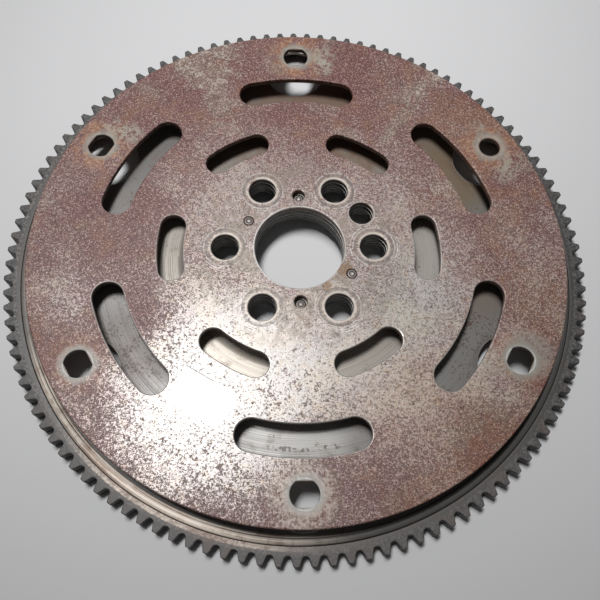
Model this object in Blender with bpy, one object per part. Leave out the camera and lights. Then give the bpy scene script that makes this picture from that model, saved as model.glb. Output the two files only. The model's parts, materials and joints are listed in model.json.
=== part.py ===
"""Dual plate flexplate: a flat flex plate over a dished carrier with a ring gear.

Metres, +Z up. The axis of rotation is Z, and the ring gear's lower face lies on z = 0.
Angles run anticlockwise from +X, seen from above.
"""

import math

import bmesh
import bpy

# Fits
SEAT_GAP = 0.0003
RIVET_CLEARANCE = 0.0003

# Flex plate: the flat steel disc that carries the torque converter
CONVERTER_CIRCLE_RADIUS = 0.14605
PLATE_RIM = 0.01795
PLATE_RADIUS = CONVERTER_CIRCLE_RADIUS + PLATE_RIM
PLATE_THICKNESS = 0.004
CONVERTER_HOLE_WIDTH = 0.0164
CONVERTER_HOLE_HEIGHT = 0.0137
CONVERTER_LOCATING_DIAMETER = 0.0136
CONVERTER_FIRST_ANGLE = math.radians(30)
CONVERTER_HOLES = 6
OUTER_SLOT_INSET = 0.0283
OUTER_SLOT_RADIUS = CONVERTER_CIRCLE_RADIUS - OUTER_SLOT_INSET
OUTER_SLOT_WIDTH = 0.0185
OUTER_SLOT_HALF_ANGLE = math.radians(14.15)
INNER_SLOT_WIDTH = 0.0155
INNER_SLOT_HALF_ANGLE = math.radians(10.4)

# Hub stack, shared by the plates and the spacer rings
CRANK_CIRCLE_RADIUS = 0.0455
BORE_INSET = 0.018
BORE_RADIUS = CRANK_CIRCLE_RADIUS - BORE_INSET
CRANK_BOLTS = 6
CRANK_HOLE_DIAMETER = 0.017
DOWEL_ANGLE = math.radians(31)
DOWEL_HOLE_DIAMETER = 0.0152
SPACER_RIM = 0.0145
SPACER_RADIUS = CRANK_CIRCLE_RADIUS + SPACER_RIM
UPPER_SPACER_THICKNESS = 0.0037
LOWER_SPACER_THICKNESS = 0.0047

# The inner slots' circle, as a share of the way from the crankshaft's bolts to the outer slots
INNER_SLOT_SHARE = 0.460208
INNER_SLOT_RADIUS = CRANK_CIRCLE_RADIUS + INNER_SLOT_SHARE * (OUTER_SLOT_RADIUS - CRANK_CIRCLE_RADIUS)

# Rivets that hold the hub stack together
RIVET_INSET = 0.0085
RIVET_CIRCLE_RADIUS = BORE_RADIUS + RIVET_INSET
RIVET_RADIUS = 0.0021
RIVET_HEAD_RADIUS = 0.0028
RIVET_RECESS = 0.0002
RIVET_DIMPLE_RADIUS = 0.0012
RIVET_DIMPLE_DEPTH = 0.0007
LONG_RIVET_ANGLES = {"rivet_long_left": math.radians(150), "rivet_long_right": math.radians(330)}
SHORT_RIVET_ANGLES = {"rivet_short_back": math.radians(90), "rivet_short_front": math.radians(270)}
SHORT_RIVET_WINDOW_DIAMETER = 0.0078

# Carrier: the dished steel pressing between the hub and the ring gear
CARRIER_SHEET = 0.0025
CARRIER_HUB_LEDGE = 0.004
CARRIER_HUB_RADIUS = SPACER_RADIUS + CARRIER_HUB_LEDGE
CARRIER_STEP_RUN = 0.012
CARRIER_STEP_DROP = 0.005
CARRIER_DISH_DEPTH = 0.0076
CARRIER_LIP_SINK = 0.0006
CARRIER_LIP_RUN = 0.0026
CARRIER_LIP_RISE = 0.0012
CARRIER_SHOULDER_RADIUS = 0.003
CARRIER_FLANGE_SHORTFALL = 0.001
ACCESS_CIRCLE_INSET = 0.0012
ACCESS_LIP_CLEARANCE = 0.00105

# Ring gear: stub teeth for the starter's pinion
GEAR_TEETH = 115
GEAR_FIRST_TOOTH = math.radians(2.53)
GEAR_TOOTH_DEPTH = 0.0057
GEAR_TIP_LAND = 0.0027
GEAR_TOOTH_BASE = 0.0061
GEAR_TOOTH_BULGE = 0.0003
GEAR_ROOT_ROUNDING = 0.00095
GEAR_PLATE_MARGIN = 0.0075
GEAR_BORE_RADIUS = PLATE_RADIUS + GEAR_PLATE_MARGIN
GEAR_RIM = 0.00495
GEAR_ROOT_RADIUS = GEAR_BORE_RADIUS + GEAR_RIM
GEAR_TIP_RADIUS = GEAR_ROOT_RADIUS + GEAR_TOOTH_DEPTH
GEAR_BORE_CHAMFER = 0.0006
GEAR_WIDTH = 0.010

# Radii at the carrier's lip, and the access holes that stay inside it
SHOULDER_CENTRE_RADIUS = GEAR_BORE_RADIUS - SEAT_GAP - CARRIER_SHOULDER_RADIUS
CARRIER_CONE_RADIUS = SHOULDER_CENTRE_RADIUS - CARRIER_LIP_RUN
ACCESS_CIRCLE_RADIUS = CONVERTER_CIRCLE_RADIUS - ACCESS_CIRCLE_INSET
ACCESS_HOLE_RADIUS = CARRIER_CONE_RADIUS - ACCESS_LIP_CLEARANCE - ACCESS_CIRCLE_RADIUS

# Heights that follow from the stack
GEAR_TOP = GEAR_WIDTH
CARRIER_HUB_TOP = GEAR_TOP + CARRIER_DISH_DEPTH
CARRIER_CONE_LOW = GEAR_TOP - CARRIER_LIP_SINK
UPPER_SPACER_BOTTOM = CARRIER_HUB_TOP + SEAT_GAP
UPPER_SPACER_TOP = UPPER_SPACER_BOTTOM + UPPER_SPACER_THICKNESS
PLATE_BOTTOM = UPPER_SPACER_TOP + SEAT_GAP
PLATE_TOP = PLATE_BOTTOM + PLATE_THICKNESS
LOWER_SPACER_TOP = CARRIER_HUB_TOP - CARRIER_SHEET - SEAT_GAP
LOWER_SPACER_BOTTOM = LOWER_SPACER_TOP - LOWER_SPACER_THICKNESS

# Facets round each kind of circle
RIM_SEGMENTS = 120
CARRIER_SEGMENTS = 72
BORE_SEGMENTS = 60
HOLE_SEGMENTS = 20
ACCESS_SEGMENTS = 24
RIVET_SEGMENTS = 12
ARC_SEGMENTS = 8
SLOT_END_SEGMENTS = 6
STEP_SEGMENTS = 3
SHOULDER_SEGMENTS = 3
SHARP_ANGLE = math.radians(30)


def clear_scene():
    """Remove whatever the open file holds."""
    for obj in list(bpy.data.objects):
        bpy.data.objects.remove(obj, do_unlink=True)


def steel(name, colour, roughness, metallic):
    """One metal finish."""
    material = bpy.data.materials.new(name)
    material.use_nodes = True
    shader = material.node_tree.nodes["Principled BSDF"]
    shader.inputs["Base Color"].default_value = (*colour, 1.0)
    shader.inputs["Roughness"].default_value = roughness
    shader.inputs["Metallic"].default_value = metallic
    return material


def add_object(name, bm, material):
    """Turn a bmesh into a named object, smooth on its round walls and crisp at its edges."""
    mesh = bpy.data.meshes.new(name)
    bm.to_mesh(mesh)
    bm.free()
    mesh.shade_smooth()
    mesh.set_sharp_from_angle(angle=SHARP_ANGLE)
    obj = bpy.data.objects.new(name, mesh)
    obj.data.materials.append(material)
    bpy.context.scene.collection.objects.link(obj)
    return obj


def polar(radius, angle):
    """A point in the plan view."""
    return (radius * math.cos(angle), radius * math.sin(angle))


def circle(radius, segments, centre=(0.0, 0.0)):
    """Points round a circle."""
    points = []
    for step in range(segments):
        x, y = polar(radius, math.tau * step / segments)
        points.append((centre[0] + x, centre[1] + y))
    return points


def arc(centre, radius, start, end, segments):
    """Points along an arc, both ends included."""
    points = []
    for step in range(segments + 1):
        x, y = polar(radius, start + (end - start) * step / segments)
        points.append((centre[0] + x, centre[1] + y))
    return points


def curved_slot(mid_radius, width, half_angle, angle):
    """A slot that follows a circle round the axis, with full round ends."""
    half = width / 2
    first = angle - half_angle
    last = angle + half_angle
    outer = arc((0, 0), mid_radius + half, first, last, ARC_SEGMENTS)
    last_end = arc(polar(mid_radius, last), half, last, last + math.pi, SLOT_END_SEGMENTS)
    inner = arc((0, 0), mid_radius - half, last, first, ARC_SEGMENTS)
    first_end = arc(polar(mid_radius, first), half, first + math.pi, first + math.tau, SLOT_END_SEGMENTS)
    return outer + last_end[1:-1] + inner + first_end[1:-1]


def double_d(width, height, circle_radius, angle):
    """A round hole with two flats that face the rim and the hub."""
    centre = polar(circle_radius, angle)
    radius = width / 2
    flat = math.asin(height / width)
    per_side = HOLE_SEGMENTS // 2
    right = arc(centre, radius, angle - math.pi / 2 - flat, angle - math.pi / 2 + flat, per_side)
    left = arc(centre, radius, angle + math.pi / 2 - flat, angle + math.pi / 2 + flat, per_side)
    return right + left


def bolt_circle(count, first_angle):
    """Angles of equally spaced holes."""
    return [first_angle + math.tau * step / count for step in range(count)]


def straight(points):
    """A wall that goes straight down: the same outline at the bottom and the top."""
    return (points, points)


def tapered(centre, bottom_radius, top_radius):
    """A countersunk rivet hole."""
    return (circle(bottom_radius, RIVET_SEGMENTS, centre), circle(top_radius, RIVET_SEGMENTS, centre))


def crank_holes():
    """The crankshaft bolt holes and the dowel hole, the same in every layer of the hub."""
    holes = []
    for angle in bolt_circle(CRANK_BOLTS, 0.0):
        holes.append(circle(CRANK_HOLE_DIAMETER / 2, HOLE_SEGMENTS, polar(CRANK_CIRCLE_RADIUS, angle)))
    dowel_centre = polar(CRANK_CIRCLE_RADIUS, DOWEL_ANGLE)
    holes.append(circle(DOWEL_HOLE_DIAMETER / 2, HOLE_SEGMENTS, dowel_centre))
    return holes


def rivet_holes(angles, bottom_radius, top_radius):
    """Clearance holes for rivets, wider where a head sits."""
    holes = []
    for angle in angles.values():
        centre = polar(RIVET_CIRCLE_RADIUS, angle)
        holes.append(tapered(centre, bottom_radius + RIVET_CLEARANCE, top_radius + RIVET_CLEARANCE))
    return holes


def loop_edges(bm, points, z):
    """A closed chain of vertices and edges at one height."""
    verts = [bm.verts.new((x, y, z)) for x, y in points]
    edges = [bm.edges.new((verts[i - 1], verts[i])) for i in range(len(verts))]
    return verts, edges


def flat_part(name, outer, holes, bottom, top, material):
    """A flat piece: two faces with the same cut-outs, and a wall along each outline.

    Each outline is a pair of point lists, for the lower and the upper face.
    """
    bm = bmesh.new()
    lower_edges = []
    upper_edges = []
    for lower_points, upper_points in [outer] + holes:
        lower_verts, edges = loop_edges(bm, lower_points, bottom)
        lower_edges += edges
        upper_verts, edges = loop_edges(bm, upper_points, top)
        upper_edges += edges
        for i in range(len(lower_verts)):
            bm.faces.new((lower_verts[i - 1], lower_verts[i], upper_verts[i], upper_verts[i - 1]))
    for edges in (lower_edges, upper_edges):
        bmesh.ops.triangle_fill(bm, use_beauty=True, use_dissolve=False, edges=edges)
    bmesh.ops.recalc_face_normals(bm, faces=bm.faces)
    return add_object(name, bm, material)


def turned_part(name, profile, segments, material):
    """A turned piece: a closed (radius, z) outline swept round the axis."""
    bm = bmesh.new()
    rings = []
    for radius, z in profile:
        rings.append([bm.verts.new((x, y, z)) for x, y in circle(radius, segments)])
    for ring in range(len(rings)):
        inner = rings[ring - 1]
        outer = rings[ring]
        for i in range(segments):
            bm.faces.new((inner[i - 1], inner[i], outer[i], outer[i - 1]))
    bmesh.ops.recalc_face_normals(bm, faces=bm.faces)
    return add_object(name, bm, material)


def make_flex_plate():
    """Flat disc with two rings of slots, converter holes near the rim and the hub holes."""
    material = steel("flex_plate_steel", (0.30, 0.21, 0.19), 0.5, 0.6)
    holes = [straight(circle(BORE_RADIUS, BORE_SEGMENTS))]
    holes += [straight(points) for points in crank_holes()]
    locating, *slotted = bolt_circle(CONVERTER_HOLES, CONVERTER_FIRST_ANGLE)
    locating_centre = polar(CONVERTER_CIRCLE_RADIUS, locating)
    holes.append(straight(circle(CONVERTER_LOCATING_DIAMETER / 2, HOLE_SEGMENTS, locating_centre)))
    for angle in slotted:
        hole = double_d(CONVERTER_HOLE_WIDTH, CONVERTER_HOLE_HEIGHT, CONVERTER_CIRCLE_RADIUS, angle)
        holes.append(straight(hole))
    for angle in bolt_circle(CONVERTER_HOLES, CONVERTER_FIRST_ANGLE):
        slot = curved_slot(OUTER_SLOT_RADIUS, OUTER_SLOT_WIDTH, OUTER_SLOT_HALF_ANGLE, angle)
        holes.append(straight(slot))
    for angle in bolt_circle(CRANK_BOLTS, 0.0):
        slot = curved_slot(INNER_SLOT_RADIUS, INNER_SLOT_WIDTH, INNER_SLOT_HALF_ANGLE, angle)
        holes.append(straight(slot))
    holes += rivet_holes(LONG_RIVET_ANGLES, RIVET_RADIUS, RIVET_HEAD_RADIUS)
    for angle in SHORT_RIVET_ANGLES.values():
        centre = polar(RIVET_CIRCLE_RADIUS, angle)
        holes.append(straight(circle(SHORT_RIVET_WINDOW_DIAMETER / 2, RIVET_SEGMENTS, centre)))
    outer = straight(circle(PLATE_RADIUS, RIM_SEGMENTS))
    return flat_part("flex_plate", outer, holes, PLATE_BOTTOM, PLATE_TOP, material)


def make_spacer(name, bottom, top, long_taper, short_taper):
    """Flat ring of the hub stack. Each taper is a rivet hole's lower and upper radius."""
    material = steel(name + "_steel", (0.27, 0.25, 0.23), 0.45, 0.8)
    holes = [straight(circle(BORE_RADIUS, BORE_SEGMENTS))]
    holes += [straight(points) for points in crank_holes()]
    holes += rivet_holes(LONG_RIVET_ANGLES, *long_taper)
    holes += rivet_holes(SHORT_RIVET_ANGLES, *short_taper)
    outer = straight(circle(SPACER_RADIUS, BORE_SEGMENTS))
    return flat_part(name, outer, holes, bottom, top, material)


def carrier_top_line():
    """Upper side of the carrier's section, from the bore to the foot of its flange."""
    line = [(BORE_RADIUS, CARRIER_HUB_TOP)]
    for step in range(STEP_SEGMENTS + 1):
        share = step / STEP_SEGMENTS
        fall = CARRIER_STEP_DROP * (1 - math.cos(math.pi * share)) / 2
        line.append((CARRIER_HUB_RADIUS + CARRIER_STEP_RUN * share, CARRIER_HUB_TOP - fall))
    line.append((CARRIER_CONE_RADIUS, CARRIER_CONE_LOW))
    lip_top = CARRIER_CONE_LOW + CARRIER_LIP_RISE
    shoulder = (SHOULDER_CENTRE_RADIUS, lip_top - CARRIER_SHOULDER_RADIUS)
    line.append((SHOULDER_CENTRE_RADIUS - CARRIER_LIP_RUN / 2, lip_top))
    line += arc(shoulder, CARRIER_SHOULDER_RADIUS, math.pi / 2, 0.0, SHOULDER_SEGMENTS)
    line.append((GEAR_BORE_RADIUS - SEAT_GAP, CARRIER_FLANGE_SHORTFALL))
    return line


def offset_line(line, distance):
    """The same line moved sideways, to the right of its direction."""
    moved = []
    for i, point in enumerate(line):
        before = line[max(i - 1, 0)]
        after = line[min(i + 1, len(line) - 1)]
        first = math.atan2(point[1] - before[1], point[0] - before[0]) if i > 0 else None
        second = math.atan2(after[1] - point[1], after[0] - point[0]) if i < len(line) - 1 else None
        first = second if first is None else first
        second = first if second is None else second
        middle = (first + second) / 2
        reach = distance / math.cos((second - first) / 2)
        moved.append((point[0] + reach * math.sin(middle), point[1] - reach * math.cos(middle)))
    return moved


def make_carrier_plate():
    """Dished pressing: flat hub, a step, a shallow cone, a rolled lip and a flange."""
    material = steel("carrier_steel", (0.32, 0.28, 0.25), 0.4, 0.7)
    top_line = carrier_top_line()
    profile = top_line + offset_line(top_line, CARRIER_SHEET)[::-1]
    carrier = turned_part("carrier_plate", profile, CARRIER_SEGMENTS, material)
    cut_holes(carrier, carrier_holes(), CARRIER_HUB_TOP + CARRIER_SHEET)
    return carrier


def carrier_holes():
    """Bolt, dowel and rivet holes through the hub, and a wide hole below each converter hole."""
    holes = crank_holes()
    for angle in bolt_circle(CONVERTER_HOLES, CONVERTER_FIRST_ANGLE):
        centre = polar(ACCESS_CIRCLE_RADIUS, angle)
        holes.append(circle(ACCESS_HOLE_RADIUS, ACCESS_SEGMENTS, centre))
    for angle in [*LONG_RIVET_ANGLES.values(), *SHORT_RIVET_ANGLES.values()]:
        centre = polar(RIVET_CIRCLE_RADIUS, angle)
        holes.append(circle(RIVET_RADIUS + RIVET_CLEARANCE, RIVET_SEGMENTS, centre))
    return holes


def cut_holes(target, outlines, height):
    """Cut upright holes through a piece with a hidden cutter that reaches from the floor up."""
    bm = bmesh.new()
    for points in outlines:
        lower_verts, _ = loop_edges(bm, points, 0.0)
        upper_verts, _ = loop_edges(bm, points, height)
        bm.faces.new(lower_verts)
        bm.faces.new(upper_verts)
        for i in range(len(points)):
            bm.faces.new((lower_verts[i - 1], lower_verts[i], upper_verts[i], upper_verts[i - 1]))
    bmesh.ops.recalc_face_normals(bm, faces=bm.faces)
    mesh = bpy.data.meshes.new("drill")
    bm.to_mesh(mesh)
    bm.free()
    cutter = bpy.data.objects.new("drill", mesh)
    bpy.context.scene.collection.objects.link(cutter)
    cutter.hide_render = True
    cutter.display_type = "WIRE"
    cut = target.modifiers.new("Holes", "BOOLEAN")
    cut.operation = "DIFFERENCE"
    cut.solver = "EXACT"
    cut.object = cutter


def tooth_outline():
    """The ring gear's outline: stub teeth with bulging flanks and round roots."""
    mid_radius = GEAR_TIP_RADIUS - GEAR_TOOTH_DEPTH / 2
    tip = GEAR_TIP_LAND / 2 / GEAR_TIP_RADIUS
    middle = ((GEAR_TIP_LAND + GEAR_TOOTH_BASE) / 4 + GEAR_TOOTH_BULGE / 2) / mid_radius
    fillet_radius = GEAR_ROOT_RADIUS + GEAR_ROOT_ROUNDING
    foot = GEAR_TOOTH_BASE / 2 / fillet_radius
    points = []
    for angle in bolt_circle(GEAR_TEETH, GEAR_FIRST_TOOTH):
        points.append(polar(fillet_radius, angle - foot))
        points.append(polar(mid_radius, angle - middle))
        points.append(polar(GEAR_TIP_RADIUS, angle - tip))
        points.append(polar(GEAR_TIP_RADIUS, angle + tip))
        points.append(polar(mid_radius, angle + middle))
        points.append(polar(fillet_radius, angle + foot))
        points.append(polar(GEAR_ROOT_RADIUS, angle + math.pi / GEAR_TEETH))
    return points


def make_ring_gear():
    """Toothed ring that sits round the carrier's flange."""
    material = steel("ring_gear_steel", (0.14, 0.13, 0.125), 0.5, 0.8)
    chamfered = GEAR_BORE_RADIUS + GEAR_BORE_CHAMFER
    bore = (circle(GEAR_BORE_RADIUS, GEAR_TEETH), circle(chamfered, GEAR_TEETH))
    return flat_part("ring_gear", straight(tooth_outline()), [bore], 0.0, GEAR_TOP, material)


def make_rivet(name, angle, bottom, shank_start, shank_end, top):
    """Solid rivet with a flush head at each end and a dimple in the upper head."""
    material = steel(name + "_steel", (0.45, 0.43, 0.41), 0.35, 0.9)
    bm = bmesh.new()
    profile = [
        (RIVET_HEAD_RADIUS, bottom),
        (RIVET_RADIUS, shank_start),
        (RIVET_RADIUS, shank_end),
        (RIVET_HEAD_RADIUS, top),
        (RIVET_DIMPLE_RADIUS, top),
    ]
    rings = []
    for radius, z in profile:
        rings.append([bm.verts.new((x, y, z)) for x, y in circle(radius, RIVET_SEGMENTS)])
    bm.faces.new(rings[0])
    for lower, upper in zip(rings, rings[1:]):
        for i in range(RIVET_SEGMENTS):
            bm.faces.new((lower[i - 1], lower[i], upper[i], upper[i - 1]))
    dimple = bm.verts.new((0.0, 0.0, top - RIVET_DIMPLE_DEPTH))
    for i in range(RIVET_SEGMENTS):
        bm.faces.new((rings[-1][i - 1], rings[-1][i], dimple))
    bmesh.ops.recalc_face_normals(bm, faces=bm.faces)
    rivet = add_object(name, bm, material)
    x, y = polar(RIVET_CIRCLE_RADIUS, angle)
    rivet.location = (x, y, 0.0)
    return rivet


def make_rivets():
    """Two rivets through the whole stack, and two that stop under the flex plate."""
    foot = LOWER_SPACER_BOTTOM + RIVET_RECESS
    for name, angle in LONG_RIVET_ANGLES.items():
        make_rivet(name, angle, foot, LOWER_SPACER_TOP, PLATE_BOTTOM, PLATE_TOP - RIVET_RECESS)
    for name, angle in SHORT_RIVET_ANGLES.items():
        head = UPPER_SPACER_TOP - RIVET_RECESS
        make_rivet(name, angle, foot, LOWER_SPACER_TOP, UPPER_SPACER_BOTTOM, head)


def build():
    """Make every piece of the flexplate."""
    clear_scene()
    shank = (RIVET_RADIUS, RIVET_RADIUS)
    head_up = (RIVET_RADIUS, RIVET_HEAD_RADIUS)
    head_down = (RIVET_HEAD_RADIUS, RIVET_RADIUS)
    make_flex_plate()
    make_spacer("upper_spacer", UPPER_SPACER_BOTTOM, UPPER_SPACER_TOP, shank, head_up)
    make_carrier_plate()
    make_spacer("lower_spacer", LOWER_SPACER_BOTTOM, LOWER_SPACER_TOP, head_down, head_down)
    make_ring_gear()
    make_rivets()


build()
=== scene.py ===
"""A used flexplate, lying on a pale floor with its drive plate up."""

import json
import math

import bmesh
import bpy
from mathutils import Matrix, Vector
from mathutils.geometry import delaunay_2d_cdt

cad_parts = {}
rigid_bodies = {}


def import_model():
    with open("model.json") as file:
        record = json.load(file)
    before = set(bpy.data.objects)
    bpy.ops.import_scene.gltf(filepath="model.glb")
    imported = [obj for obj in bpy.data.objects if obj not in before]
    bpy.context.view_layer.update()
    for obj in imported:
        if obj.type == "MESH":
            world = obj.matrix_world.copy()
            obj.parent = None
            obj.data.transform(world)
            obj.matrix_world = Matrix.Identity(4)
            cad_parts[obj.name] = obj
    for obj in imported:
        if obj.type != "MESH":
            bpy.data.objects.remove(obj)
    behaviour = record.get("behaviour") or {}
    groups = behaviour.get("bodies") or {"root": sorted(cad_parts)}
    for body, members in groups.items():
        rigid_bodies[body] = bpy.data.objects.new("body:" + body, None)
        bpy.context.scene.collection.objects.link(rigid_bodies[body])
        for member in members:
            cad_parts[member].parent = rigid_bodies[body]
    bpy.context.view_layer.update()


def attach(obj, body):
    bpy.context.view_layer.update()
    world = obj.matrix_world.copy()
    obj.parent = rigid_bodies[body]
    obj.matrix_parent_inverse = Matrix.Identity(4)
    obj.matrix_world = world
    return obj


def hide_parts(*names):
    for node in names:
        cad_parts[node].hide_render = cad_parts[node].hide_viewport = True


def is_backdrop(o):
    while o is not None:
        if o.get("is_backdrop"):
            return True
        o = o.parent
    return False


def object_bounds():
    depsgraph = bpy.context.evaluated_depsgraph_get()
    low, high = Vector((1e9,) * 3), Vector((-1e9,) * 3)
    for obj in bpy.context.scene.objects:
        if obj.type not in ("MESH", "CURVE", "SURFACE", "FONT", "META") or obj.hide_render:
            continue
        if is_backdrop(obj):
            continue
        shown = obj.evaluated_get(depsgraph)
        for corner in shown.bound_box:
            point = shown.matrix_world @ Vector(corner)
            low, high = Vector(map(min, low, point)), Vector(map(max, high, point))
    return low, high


for left_over in list(bpy.data.objects):
    bpy.data.objects.remove(left_over, do_unlink=True)
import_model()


# The carrier is a dished pressing of 2.5 mm steel: a flat hub, a rounded step down, a shallow cone
# and a rolled lip whose flange the ring gear is fitted on. It was faced in a lathe, and has six
# wide holes, pierced so that a socket reaches the converter's bolts.
MM = 1000.0
CARRIER_SHEET = 0.0025
HUB_TOP = 0.0176
HUB_EDGE = 0.064
STEP_RUN = 0.012
STEP_DROP = 0.005
CONE_END = 0.1656
CONE_FOOT = 0.0094
CONE_RUN = CONE_END - HUB_EDGE - STEP_RUN
LIP_TOP = CONE_FOOT + 0.0012
LIP_FOOT = [(0.0002, 0.0001), (0.0005, 0.0004)]
LIP_CREST = [(0.0008, 0.0004), (0.0011, 0.00018), (0.0015, 0.00012), (0.0018, 0.0002), (0.0020, 0.0004)]
LIP_CREST += [(0.0022, 0.00035), (0.0026, 0.0001), (0.0032, 0.0), (0.0040, 0.00003), (0.0047, 0.00015)]
LIP_CREST += [(0.0052, 0.0003), (0.0056, 0.0006)]
LIP_UNDERSIDE = 0.0012
FOOT_UNDERSIDE, FOOT_RISE = 0.0006, 0.0003
SHOULDER_CENTRE = 0.1682
SHOULDER_ROUND = 0.003
SHOULDER_DROP = 0.0012
FLANGE_WALL = SHOULDER_CENTRE + SHOULDER_ROUND
FLANGE_END = 0.001
FLANGE_BREAK = 0.0003
CARRIER_SIDES = 360
HUB_HOLE_SIDES = 48
ACCESS_SIDES = 72
SHANK_SIDES = 20
CARRIER_EDGE_ROUND = 0.0005
CARRIER_LEDGE = 0.0003
BORE_RADIUS = 0.0275
BOLT_CIRCLE = 0.0455
BOLT_HOLE = 0.0085
DOWEL_HOLE = 0.0076
DOWEL_ANGLE = 31
RIVET_CIRCLE = 0.036
RIVET_ANGLES = [90, 150, 270, 330]
RIVET_SHANK = 0.0024
CONVERTER_CIRCLE = 0.14605
CONVERTER_ANGLES = [30, 90, 150, 210, 270, 330]
ACCESS_CIRCLE = 0.14485
ACCESS_HOLE = 0.0197
ACCESS_MARGIN = 0.0015
EDGE_TURNS = 4
SHOULDER_TURNS = 6
STEP_RINGS, STEP_SIDES = 12, 120
CONE_RINGS, CONE_SIDES = 12, 180
CONE_DARK, CONE_LIGHT = (0.15, 0.143, 0.137), (0.22, 0.212, 0.203)
HUB_DARK, HUB_LIGHT = (0.20, 0.18, 0.155), (0.33, 0.305, 0.27)
BACK_GREY, BACK_BROWN = (0.115, 0.11, 0.105), (0.15, 0.105, 0.072)
FRONT_DARK, FRONT_LIGHT = (0.25, 0.24, 0.23), (0.44, 0.43, 0.415)
LEFT_DARK_PATCH = (0.10, 0.086, 0.079)
RIGHT_BROWN = (0.17, 0.13, 0.095)
INNER_CREAM_AND_GLARE, INNER_GREY = (0.44, 0.395, 0.34), (0.50, 0.48, 0.45)
OIL_BROWN = (0.18, 0.13, 0.08)
TARNISH = (0.16, 0.095, 0.062)
PIT_BLACK, PIT_BROWN = (0.045, 0.03, 0.024), (0.085, 0.045, 0.03)
LIP_CREAM, LIP_BROWN = (0.60, 0.53, 0.45), (0.30, 0.215, 0.165)
LIP_RUN, LIP_GROOVE_SHADE = (0.26, 0.15, 0.115), (0.05, 0.035, 0.028)
LIP_PAINTED_HIGHLIGHT, LIP_PAINTED_HIGHLIGHT_BROWN = (0.95, 0.84, 0.74), (0.60, 0.44, 0.35)
SOOT_LEFT, LIP_PAINTED_SHADOW = (0.13, 0.12, 0.112), (0.055, 0.053, 0.05)
FLANK_PAINTED_SHADE, FLANK_PAINTED_FILL = (0.03, 0.025, 0.02), (0.18, 0.15, 0.13)
HOLE_WALL_PAINTED_SHADE = (0.03, 0.026, 0.024)
LEDGE_PAINTED_HIGHLIGHT = (0.95, 0.91, 0.86)
ACCESS_EDGE_PAINTED_HIGHLIGHT = (0.60, 0.54, 0.48)


def at(radius, degrees):
    """A point of the plan view."""
    return Vector((radius * math.cos(math.radians(degrees)), radius * math.sin(math.radians(degrees))))


def arc(centre, radius, start, end, steps):
    """Points along an arc, both ends included."""
    return [Vector(centre) + at(radius, start + (end - start) * step / steps) for step in range(steps + 1)]


def ring(radius, sides, centre=(0.0, 0.0)):
    """Points round a circle, anticlockwise."""
    return arc(centre, radius, 0, 360, sides)[:-1]


def moved_in(outline, distance):
    """The outline moved to its left by a distance, with its corners mitred."""
    moved = []
    for i, point in enumerate(outline):
        before = (point - outline[i - 1]).normalized()
        after = (outline[(i + 1) % len(outline)] - point).normalized()
        side = Vector((-before.y - after.y, before.x + after.x)).normalized()
        reach = distance / max(side.dot(Vector((-after.y, after.x))), 0.4)
        moved.append(point + side * reach)
    return moved


def edge_profile(roundness):
    """How far a rounded edge stands in from its wall, and how deep it lies, from the face to the wall."""
    profile = []
    for turn in range(EDGE_TURNS + 1):
        tilt = math.pi / 2 * turn / EDGE_TURNS
        profile.append((roundness * (1 - math.sin(tilt)), roundness * (1 - math.cos(tilt))))
    return profile


def inside(point, outline):
    """Whether a point lies within a closed outline."""
    crossings = False
    for i, b in enumerate(outline):
        a = outline[i - 1]
        if (a.y > point.y) != (b.y > point.y) and point.x < (b.x - a.x) * (point.y - a.y) / (b.y - a.y) + a.x:
            crossings = not crossings
    return crossings


def band_between(mesh, lower, upper):
    """Smooth quads between two chains of vertices."""
    for i in range(len(lower)):
        mesh.faces.new((lower[i - 1], lower[i], upper[i], upper[i - 1])).smooth = True


def fill_between(mesh, chains, extra, heights, smooth):
    """One face of a sheet, triangulated between its chains of vertices and through the extra points."""
    verts = [vert for chain in chains for vert in chain]
    outlines = [[vert.co.xy for vert in chain] for chain in chains]
    edges, first = [], 0
    for chain in chains:
        edges += [(first + (i - 1) % len(chain), first + i) for i in range(len(chain))]
        first += len(chain)
    spots = [vert.co.xy for vert in verts] + extra
    verts += [mesh.verts.new((spot.x, spot.y, heights(spot.length))) for spot in extra]
    flat, _, triangles, origin, _, _ = delaunay_2d_cdt(spots, edges, [], 0, 1e-7)
    reach = [(sum(line, Vector((0, 0))) / len(line), line) for line in outlines]
    reach = [(middle, max((p - middle).length for p in line), line) for middle, line in reach]
    for triangle in triangles:
        centre = sum((flat[i] for i in triangle), Vector((0, 0))) / 3
        holes = [line for middle, size, line in reach[1:] if (centre - middle).length < size]
        if inside(centre, outlines[0]) and not any(inside(centre, line) for line in holes):
            mesh.faces.new([verts[origin[i][0]] for i in triangle]).smooth = smooth


def pierced_sheet(rim, holes, top, bottom, roundness, extra=(), smooth=False, open_rim=False):
    """A mesh of a sheet with rounded edges. Top and bottom give its heights at a radius from the axis.

    An open rim has no wall, and its upper and lower chains of vertices are given back too.
    """
    mesh = bmesh.new()
    upper_chains, lower_chains = [], []
    for outline in [rim] + holes:
        bare_rim = open_rim and outline is rim
        sides = []
        for height, down in ((top, -1), (bottom, 1)):
            side = []
            for inset, depth in [(0, 0)] if bare_rim else edge_profile(roundness):
                points = moved_in(outline, inset if outline is rim else -inset)
                side.append([mesh.verts.new((p.x, p.y, height(p.length) + down * depth)) for p in points])
            sides.append(side)
        upper_chains.append(sides[0][0])
        lower_chains.append(sides[1][0])
        walls = sides[0] + sides[1][::-1]
        for first, second in zip(walls, walls[1:]):
            if not bare_rim:
                band_between(mesh, first, second)
    fill_between(mesh, upper_chains, list(extra), top, smooth)
    fill_between(mesh, lower_chains, list(extra), bottom, smooth)
    if open_rim:
        return mesh, upper_chains[0], lower_chains[0]
    bmesh.ops.recalc_face_normals(mesh, faces=mesh.faces)
    return mesh


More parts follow.
